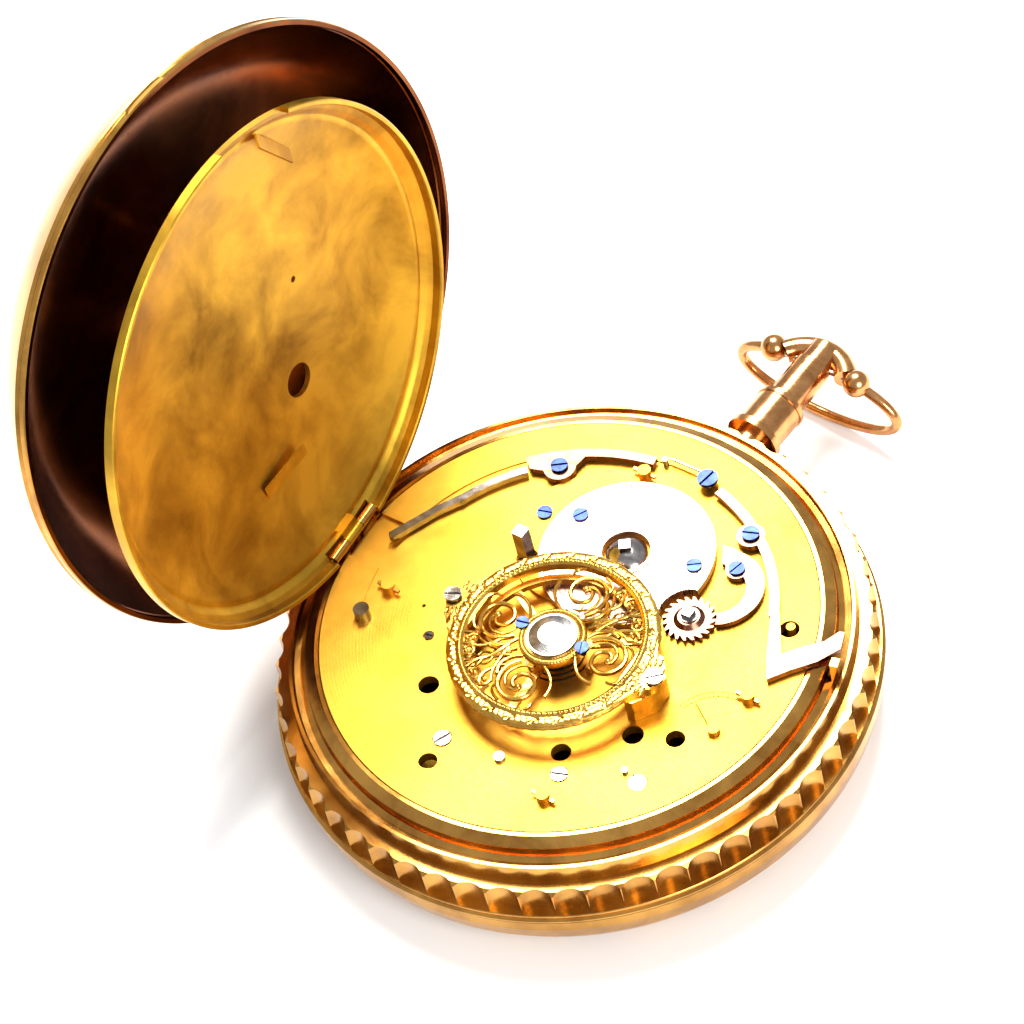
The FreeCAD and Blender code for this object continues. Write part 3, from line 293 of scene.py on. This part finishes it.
# ---------------------------------------------------------------- mesh pieces
def lathe(bm, profile, segments=192, shape=None):
    """Turn a profile of (radius, height) about an upright line; shape may lift each point."""
    rings = []
    for i in range(segments):
        a = 2 * math.pi * i / segments
        ring = []
        for r, z in profile:
            if shape:
                r, z = shape(r, z, a)
            ring.append(bm.verts.new((r * math.cos(a), r * math.sin(a), z)))
        rings.append(ring)
    for i in range(segments):
        here, there = rings[i], rings[(i + 1) % segments]
        for j in range(len(profile)):
            k = (j + 1) % len(profile)
            bm.faces.new((here[j], there[j], there[k], here[k]))


def sweep(bm, path, radius, squash=1.0, sides=10):
    """Round rod of changing radius along a path of points, with closed ends."""
    points = [Vector(p) for p in path]
    rings = []
    side0 = None
    for i, p in enumerate(points):
        ahead = (points[min(i + 1, len(points) - 1)] - points[max(i - 1, 0)]).normalized()
        up = Vector((0, 0, 1)) if abs(ahead.z) < 0.9 else Vector((1, 0, 0))
        if side0 is not None and abs(ahead.z) >= 0.9:
            up = side0.cross(ahead)
        side = ahead.cross(up).normalized()
        side0 = side
        lift = side.cross(ahead).normalized()
        r = radius(i / (len(points) - 1)) if callable(radius) else radius
        ring = []
        for k in range(sides):
            a = 2 * math.pi * k / sides
            ring.append(bm.verts.new(p + side * r * math.cos(a) + lift * r * squash * math.sin(a)))
        rings.append(ring)
    for a, b in zip(rings, rings[1:]):
        for k in range(sides):
            bm.faces.new((a[k], a[(k + 1) % sides], b[(k + 1) % sides], b[k]))
    bm.faces.new(rings[0])
    bm.faces.new(rings[-1][::-1])


def bead(bm, x, y, z, rx, ry, rz, angle=0.0, rings=6, sides=12):
    """Rounded bead, longer one way."""
    made = bmesh.ops.create_uvsphere(bm, u_segments=sides, v_segments=rings, radius=1.0)
    turn_z = Matrix.Rotation(angle, 4, "Z")
    place = Matrix.Translation((x, y, z)) @ turn_z @ Matrix.Diagonal((rx, ry, rz, 1))
    bmesh.ops.transform(bm, matrix=place, verts=made["verts"])


def plate(bm, outline, z0, z1, bevel=0.0):
    """Flat piece with an outline, its top edge bevelled."""
    verts = [bm.verts.new((x, y, z0)) for x, y in outline]
    face = bm.faces.new(verts)
    grown = bmesh.ops.extrude_face_region(bm, geom=[face])
    top = [v for v in grown["geom"] if isinstance(v, bmesh.types.BMVert)]
    bmesh.ops.translate(bm, vec=(0, 0, z1 - z0), verts=top)
    if bevel:
        ring = set(top)
        edges = [e for e in bm.edges if e.verts[0] in ring and e.verts[1] in ring]
        bmesh.ops.bevel(bm, geom=edges, offset=bevel, segments=2, affect="EDGES")


def bezier(p0, p1, p2, p3, steps):
    """Points along a flat cubic curve."""
    points = []
    for i in range(steps + 1):
        t = i / steps
        w = ((1 - t) ** 3, 3 * t * (1 - t) ** 2, 3 * t * t * (1 - t), t ** 3)
        points.append(tuple(sum(k * p[c] for k, p in zip(w, (p0, p1, p2, p3))) for c in range(2)))
    return points


def volute(cx, cy, r0, r1, start, turns, steps):
    """Spiral path closing in on its eye; turns may be negative."""
    points = []
    for i in range(steps + 1):
        t = i / steps
        r = r0 + (r1 - r0) * t ** 0.85
        a = start + 2 * math.pi * turns * t
        points.append((cx + r * math.cos(a), cy + r * math.sin(a)))
    return points


# ---- balance cock: pierced scrollwork between a rope-edged rim and the hub
BALANCE = (1.85, -3.95)
COCK_TILT = 2.6
cock_bm = bmesh.new()


def rim_shape(r, z, a):
    """Roped inner bead, slanted strokes on the flat and scallops on the outside."""
    if 8.0 < r < 8.45 and z > 15.3:
        z += 0.04 * math.sin(110 * a + 5 * r)
    if 8.55 < r < 9.3 and z > 15.2:
        stroke = math.sin(26 * a + 3.4 * (r - 8.5))
        z -= 0.11 * max(0.0, stroke) ** 6 + 0.03 * max(0.0, math.sin(104 * a - 4 * r))
    if r > 9.3 and z < 15.0:
        r += 0.05 * abs(math.sin(30 * a)) - 0.05
    return r, z


rim_profile = [(7.9, 14.45), (7.9, 15.22), (8.02, 15.3), (8.1, 15.38), (8.22, 15.41), (8.34, 15.38),
               (8.42, 15.28), (8.52, 15.24), (8.65, 15.25), (8.8, 15.28), (8.95, 15.28),
               (9.1, 15.26), (9.25, 15.2), (9.4, 15.08), (9.42, 14.98), (9.34, 14.9),
               (9.48, 14.8), (9.5, 14.66), (9.44, 14.52), (9.3, 14.42)]
lathe(cock_bm, rim_profile, 720, shape=rim_shape)
hub_profile = [(1.2, 14.5), (1.2, 15.28), (2.3, 15.29), (2.5, 15.31), (2.62, 15.38), (2.76, 15.41),
               (2.9, 15.38), (3.0, 15.28), (3.02, 14.9), (2.9, 14.5)]


def hub_shape(r, z, a):
    """Roped bead round the hub."""
    if z > 15.3 and r > 2.45:
        z += 0.035 * math.sin(64 * a + 4 * r)
    return r, z


lathe(cock_bm, hub_profile, 360, shape=hub_shape)


def scroll(points, r0, r1, z=14.98, end_ball=0.0, sides=9):
    """Carved scroll stem that thins towards its eye."""
    path = [(x, y, z + 0.03 * math.sin(0.9 * i)) for i, (x, y) in enumerate(points)]
    sweep(cock_bm, path, lambda t: r0 + (r1 - r0) * t, 1.15, sides)
    if end_ball:
        bead(cock_bm, path[-1][0], path[-1][1], z + 0.05, end_ball, end_ball, 0.3)


def local(a, points):
    """Flat points turned by an angle."""
    c, s = math.cos(a), math.sin(a)
    return [(c * x - s * y, s * x + c * y) for x, y in points]


for quarter in range(4):
    a = math.radians(90 * quarter)
    hand = 1 if quarter % 2 == 0 else -1

    def put(points, *args, **kw):
        scroll(local(a, [(x, hand * y) for x, y in points]), *args, **kw)

    # the great volute with its stem, and a second stem nested in it
    put(volute(5.35, 0.0, 2.42, 0.42, math.radians(150), -1.45, 44), 0.25, 0.17, end_ball=0.36)
    put(bezier((2.75, 1.35), (3.3, 2.6), (4.2, 3.0), (5.3, 2.42), 12), 0.17, 0.24)
    put(volute(5.15, 0.25, 1.75, 0.9, math.radians(190), -0.62, 20), 0.10, 0.16)
    # leaf fronds that spring from the stem towards the rim
    put(bezier((4.1, 2.05), (4.9, 3.6), (6.3, 3.9), (6.9, 3.2), 12), 0.14, 0.2, end_ball=0.24)
    put(bezier((3.1, 2.2), (3.8, 4.0), (4.6, 5.0), (5.9, 5.3), 12), 0.22, 0.14)
    put(volute(6.0, 4.35, 0.82, 0.22, math.radians(75), -1.1, 18), 0.15, 0.12, end_ball=0.2)
    put(bezier((2.9, 2.5), (3.1, 3.9), (3.2, 5.2), (2.5, 6.2), 12), 0.2, 0.14)
    put(volute(3.25, 6.35, 0.72, 0.2, math.radians(190), -1.05, 18), 0.14, 0.11, end_ball=0.19)
    put(bezier((7.6, 0.9), (7.3, 1.9), (6.6, 2.3), (6.1, 1.8), 10), 0.16, 0.1, end_ball=0.18)
    put(bezier((2.9, -0.9), (3.5, -2.1), (4.4, -2.9), (5.6, -2.7), 12), 0.16, 0.18)
    put(bezier((6.7, -2.0), (7.2, -2.2), (7.6, -1.8), (7.7, -1.2), 8), 0.13, 0.16)
    # acanthus leaf on the diagonal, with its ribs
    put([(2.25 + 3.3 * t / 10, 2.25 + 3.3 * t / 10) for t in range(11)], 0.2, 0.12)
    for k, reach in enumerate((1.0, 1.25, 1.1, 0.8)):
        x = 3.0 + 0.72 * k
        for side in (1, -1):
            tip = (x + 0.75 * reach + side * 0.35, x + 0.75 * reach - side * 0.35)
            put(bezier((x, x), (x + 0.3 + side * 0.35, x + 0.3 - side * 0.35),
                       (x + 0.6 + side * 0.5 * reach, x + 0.6 - side * 0.5 * reach), tip, 6), 0.12, 0.08)
    for k in range(3):
        b = math.radians(20 + 9 * k)
        put([(r * math.cos(b), r * math.sin(b)) for r in (7.1, 7.9)], 0.13, 0.16, sides=8)

# ears with cast shells, and the foot under each
for sign in (1, -1):
    ear = []
    for deg in range(-66, 67, 6):
        b = math.radians(deg)
        ear.append((sign * (9.62 + 1.35 * math.cos(b) ** 0.8), 1.35 * math.sin(b)))
    flank = [(9.3, 2.2), (8.6, 3.7), (7.9, 4.6), (7.6, 4.0)]
    flank += [(x, -y) for x, y in flank[::-1]]
    outline = ear + [(sign * x, y) for x, y in flank]
    if sign < 0:
        outline = outline[::-1]
    ear_bm = bmesh.new()
    plate(ear_bm, outline, 14.45, 15.18, 0.08)
    tmp = bpy.data.meshes.new("ear")
    ear_bm.to_mesh(tmp)
    ear_bm.free()
    cock_bm.from_mesh(tmp)
    for k in range(-5, 6):
        b = math.radians(17 * k) + (0 if sign > 0 else math.pi)
        x, y = sign * 10.25 - 1.62 * math.cos(b), -1.62 * math.sin(b)
        bead(cock_bm, x, y, 15.17, 0.52, 0.17, 0.17, b)
    for side in (1, -1):
        put_at = [(sign * (8.95 - 0.42 * k), side * (2.0 + 0.62 * k)) for k in range(4)]
        for k, (x, y) in enumerate(put_at):
            bead(cock_bm, x, y, 15.16, 0.42 - 0.04 * k, 0.24, 0.17, math.atan2(side * 1.4, -sign))
    foot = [(10.9, 0.9), (10.4, 1.7), (9.6, 2.7), (8.9, 2.8)]
    foot += [(x, -y) for x, y in foot[::-1]]
    foot = [(sign * x, y) for x, y in foot][::sign]
    plate(cock_bm, foot, 11.87, 14.5, 0.0)

cock = link("cock_pierced", cock_bm, COCK)
sharpen(cock, 40)
cock_turn = Matrix.Rotation(math.radians(COCK_TILT), 4, "Z")
cock.data.transform(Matrix.Translation(vec(*BALANCE, 0)) @ cock_turn)
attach(cock, "case")
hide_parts("balance_cock")


# ---- back cover and cuvette: turned shells, stored open on their hinges
LID_HINGE = (26.45, 9.8)
LID_OPEN = 96.0
CUVETTE_HINGE = (22.6, 12.9)
CUVETTE_OPEN = 94.0
CUVETTE_BEARING = 4.5


def dome_points(r, wall_z, crown, power=4, steps=40):
    """Profile of a turned crown that flattens to its middle."""
    points = []
    for i in range(steps + 1):
        share = math.cos(math.pi / 2 * i / steps)
        points.append((r * share, wall_z + (crown - wall_z) * (1 - share ** power)))
    points[-1] = (0.0005, crown)
    return points


def open_cover(ob, hinge, degrees, turned=0.0):
    """Swing a closed cover up about its hinge line."""
    line = Matrix.Translation(vec(-hinge[0], 0, hinge[1]))
    swing = line @ Matrix.Rotation(math.radians(-degrees), 4, "Y") @ line.inverted()
    ob.data.transform(Matrix.Rotation(math.radians(turned), 4, "Z") @ swing)


def carve(ob, *boxes):
    """Cut upright boxes (low corner, high corner, turn about the axis) out of a piece."""
    for lo, hi, degrees in boxes:
        bm = bmesh.new()
        made = bmesh.ops.create_cube(bm, size=1.0)
        middle = Vector([(a + b) / 2 for a, b in zip(lo, hi)])
        span = [b - a for a, b in zip(lo, hi)]
        around = Matrix.Rotation(math.radians(degrees), 4, "Z")
        place = around @ Matrix.Translation(middle) @ Matrix.Diagonal((*span, 1))
        bmesh.ops.transform(bm, matrix=place, verts=made["verts"])
        knife = link("knife", bm, ob.data.materials[0], smooth=False)
        cut = ob.modifiers.new("cut", "BOOLEAN")
        cut.object = knife
        cut.operation = "DIFFERENCE"
        cut.solver = "EXACT"
        done = bpy.data.meshes.new_from_object(ob.evaluated_get(bpy.context.evaluated_depsgraph_get()))
        ob.modifiers.clear()
        ob.data = done
        bpy.data.objects.remove(knife)


def inner_faces(ob, mat, reach):
    """Give the faces that look inwards and down, inside a radius, another material, used here for the
    painted shade inside the cover.
    """
    ob.data.materials.append(mat)
    for poly in ob.data.polygons:
        c = poly.center / MM
        inwards = c.x * poly.normal.x + c.y * poly.normal.y < -0.02
        if inwards or (poly.normal.z < -0.3 and math.hypot(c.x, c.y) < reach):
            poly.material_index = 1


lid_bm = bmesh.new()
lid_profile = [(26.52, 9.6), (26.58, 9.47), (26.95, 9.45), (27.04, 9.55), (27.05, 10.0),
               (26.98, 10.12), (26.9, 10.2), (26.97, 10.32), (27.03, 10.42)]
lid_profile += dome_points(27.05, 10.5, 19.1, 6)
lid_profile += dome_points(26.5, 10.5, 18.55, 6)[::-1]
lid_profile += [(26.42, 10.4), (26.42, 10.2), (26.52, 10.1)]
lathe(lid_bm, lid_profile, 256)
lid = link("back_cover_shell", lid_bm, CASE)
carve(lid, ((-27.4, -4.66, 9.25), (-25.7, 4.66, 10.55), 0))
# painted shade: the inward and downward faces of the cover take the darker copy of the gold
inner_faces(lid, LID_INSIDE_SHADE, 26.45)
sharpen(lid, 30)
open_cover(lid, LID_HINGE, LID_OPEN)
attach(lid, "back_cover")

hinge_bm = bmesh.new()
sweep(hinge_bm, [(-LID_HINGE[0], -1.5 + 3.0 * t / 6, LID_HINGE[1]) for t in range(7)], 0.6, 1.0, 24)
plate(hinge_bm, [(-27.03, -1.45), (-26.4, -1.45), (-26.4, 1.45), (-27.03, 1.45)], 9.9, 10.65, 0.05)
thumb_lip = [(26.9, -2.4), (27.25, -2.1), (27.38, -1.2), (27.4, 0.0), (27.38, 1.2), (27.25, 2.1),
             (26.9, 2.4)]
plate(hinge_bm, thumb_lip, 9.57, 10.03, 0.12)
lid_hinge = link("back_cover_knuckle", hinge_bm, CASE)
sharpen(lid_hinge, 40)
open_cover(lid_hinge, LID_HINGE, LID_OPEN)
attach(lid_hinge, "back_cover")
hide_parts("back_cover")

cuv_bm = bmesh.new()
cuv_profile = [(22.9, 12.35), (22.98, 12.22), (23.3, 12.2), (23.4, 12.3)]
cuv_profile += dome_points(23.4, 13.1, 16.6)
inner = dome_points(22.9, 13.1, 16.1)[::-1]
cuv_profile += [(r, z + (0.16 if 21.75 < r < 22.1 else 0.0)) for r, z in inner]
lathe(cuv_bm, cuv_profile, 256)
cuv = link("cuvette_shell", cuv_bm, CUV)
carve(cuv, ((-23.8, -3.46, 12.05), (-21.6, 3.46, 13.55), 0),
      ((22.2, -4.5, 11.9), (24.6, 4.5, 13.1), 16.5))
hole_bm = bmesh.new()
for x, y, r in ((-6.9, 3.8, 1.6), (2.2, 7.6, 0.3)):
    made = bmesh.ops.create_cone(hole_bm, cap_ends=True, segments=64, radius1=r, radius2=r, depth=3)
    bmesh.ops.translate(hole_bm, vec=(x, y, 16.2), verts=made["verts"])
knife = link("knife", hole_bm, CUV, smooth=False)
cut = cuv.modifiers.new("cut", "BOOLEAN")
cut.object = knife
cut.solver = "EXACT"
cuv.data = bpy.data.meshes.new_from_object(cuv.evaluated_get(bpy.context.evaluated_depsgraph_get()))
cuv.modifiers.clear()
bpy.data.objects.remove(knife)
sharpen(cuv, 30)
open_cover(cuv, CUVETTE_HINGE, CUVETTE_OPEN, CUVETTE_BEARING)
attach(cuv, "cuvette")

leaf_bm = bmesh.new()
knuckle_line = [(-CUVETTE_HINGE[0], -1.1 + 2.2 * t / 6, CUVETTE_HINGE[1]) for t in range(7)]
sweep(leaf_bm, knuckle_line, 0.5, 1.0, 24)
plate(leaf_bm, [(-22.8, -1.08), (-21.3, -1.08), (-21.3, 1.08), (-22.8, 1.08)], 12.95, 13.9, 0.05)
leaf = link("cuvette_knuckle", leaf_bm, CUV)
sharpen(leaf, 40)
open_cover(leaf, CUVETTE_HINGE, CUVETTE_OPEN, CUVETTE_BEARING)
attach(leaf, "cuvette")
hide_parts("cuvette")

# ---- engraved scale for the index
INDEX = (18.3, -4.15, 11.86)
SCALE_START, SCALE_SPAN = 83, 82
scale_bm = bmesh.new()


def on_scale(radius, share):
    """Point of the index scale, its bearing given as a share of the whole scale."""
    b = math.radians(SCALE_START + SCALE_SPAN * share)
    return (INDEX[0] + radius * math.cos(b), INDEX[1] + radius * math.sin(b), INDEX[2])


for radius in (3.95, 4.45):
    sweep(scale_bm, [on_scale(radius, k / 24) for k in range(25)], 0.035, 0.5, 6)
for k in range(15):
    sweep(scale_bm, [on_scale(radius, k / 14) for radius in (3.95, 4.2, 4.45)], 0.03, 0.5, 6)
index_scale = link("index_scale", scale_bm, DARK)
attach(index_scale, "case")


# ---------------------------------------------------------------- stage and camera
FLOOR_HALF = 900
floor_bm = bmesh.new()
bmesh.ops.create_grid(floor_bm, x_segments=2, y_segments=2, size=FLOOR_HALF)
FLOOR = Mat("floor")
FLOOR.set(Base_Color=FLOOR.ramp(FLOOR.noise(0.02), (0.3, (0.86, 0.86, 0.85)), (0.7, (0.90, 0.90, 0.89))),
          Roughness=0.7)
floor = link("floor", floor_bm, FLOOR.mat)
floor.location.z = -0.0002

world = bpy.data.worlds.new("studio")
bpy.context.scene.world = world
world.use_nodes = True
world.node_tree.nodes["Background"].inputs[0].default_value = (0.93, 0.95, 1.0, 1)
world.node_tree.nodes["Background"].inputs[1].default_value = 0.7
bpy.context.scene.view_settings.view_transform = "Standard"


def area_light(name, x, y, z, size_mm, power, colour=(1, 1, 1)):
    lamp = bpy.data.lights.new(name, "AREA")
    lamp.shape = "DISK"
    lamp.size = size_mm * MM
    lamp.energy = power
    lamp.color = colour
    ob = bpy.data.objects.new(name, lamp)
    bpy.context.scene.collection.objects.link(ob)
    ob.location = vec(x, y, z)
    ob.rotation_euler = (vec(0, 0, 12) - ob.location).to_track_quat("-Z", "Y").to_euler()
    return ob


area_light("key", -130, 190, 420, 260, 5.5, (1.0, 0.98, 0.95))
area_light("fill", 330, -120, 240, 240, 1.6)

cam_data = bpy.data.cameras.new("camera")
camera = bpy.data.objects.new("camera", cam_data)
bpy.context.scene.collection.objects.link(camera)
bpy.context.scene.camera = camera
target = Vector((-11.37, 7.58, 12.0))
azimuth, elevation, distance, roll = math.radians(-42.5), 0.870, 306.9, -0.275
offset = Vector((math.cos(elevation) * math.cos(azimuth), math.cos(elevation) * math.sin(azimuth),
                 math.sin(elevation)))
forward = -offset
right0 = forward.cross(Vector((0, 0, 1))).normalized()
down0 = forward.cross(right0).normalized()
right = math.cos(roll) * right0 - math.sin(roll) * down0
down = math.sin(roll) * right0 + math.cos(roll) * down0
turn = Matrix((right, -down, -forward)).transposed()
camera.matrix_world = Matrix.Translation((target + offset * distance) * MM) @ turn.to_4x4()
cam_data.sensor_width = 36.0
cam_data.lens = 18.0 / math.tan(math.radians(17.19) / 2)
cam_data.clip_start = 0.01
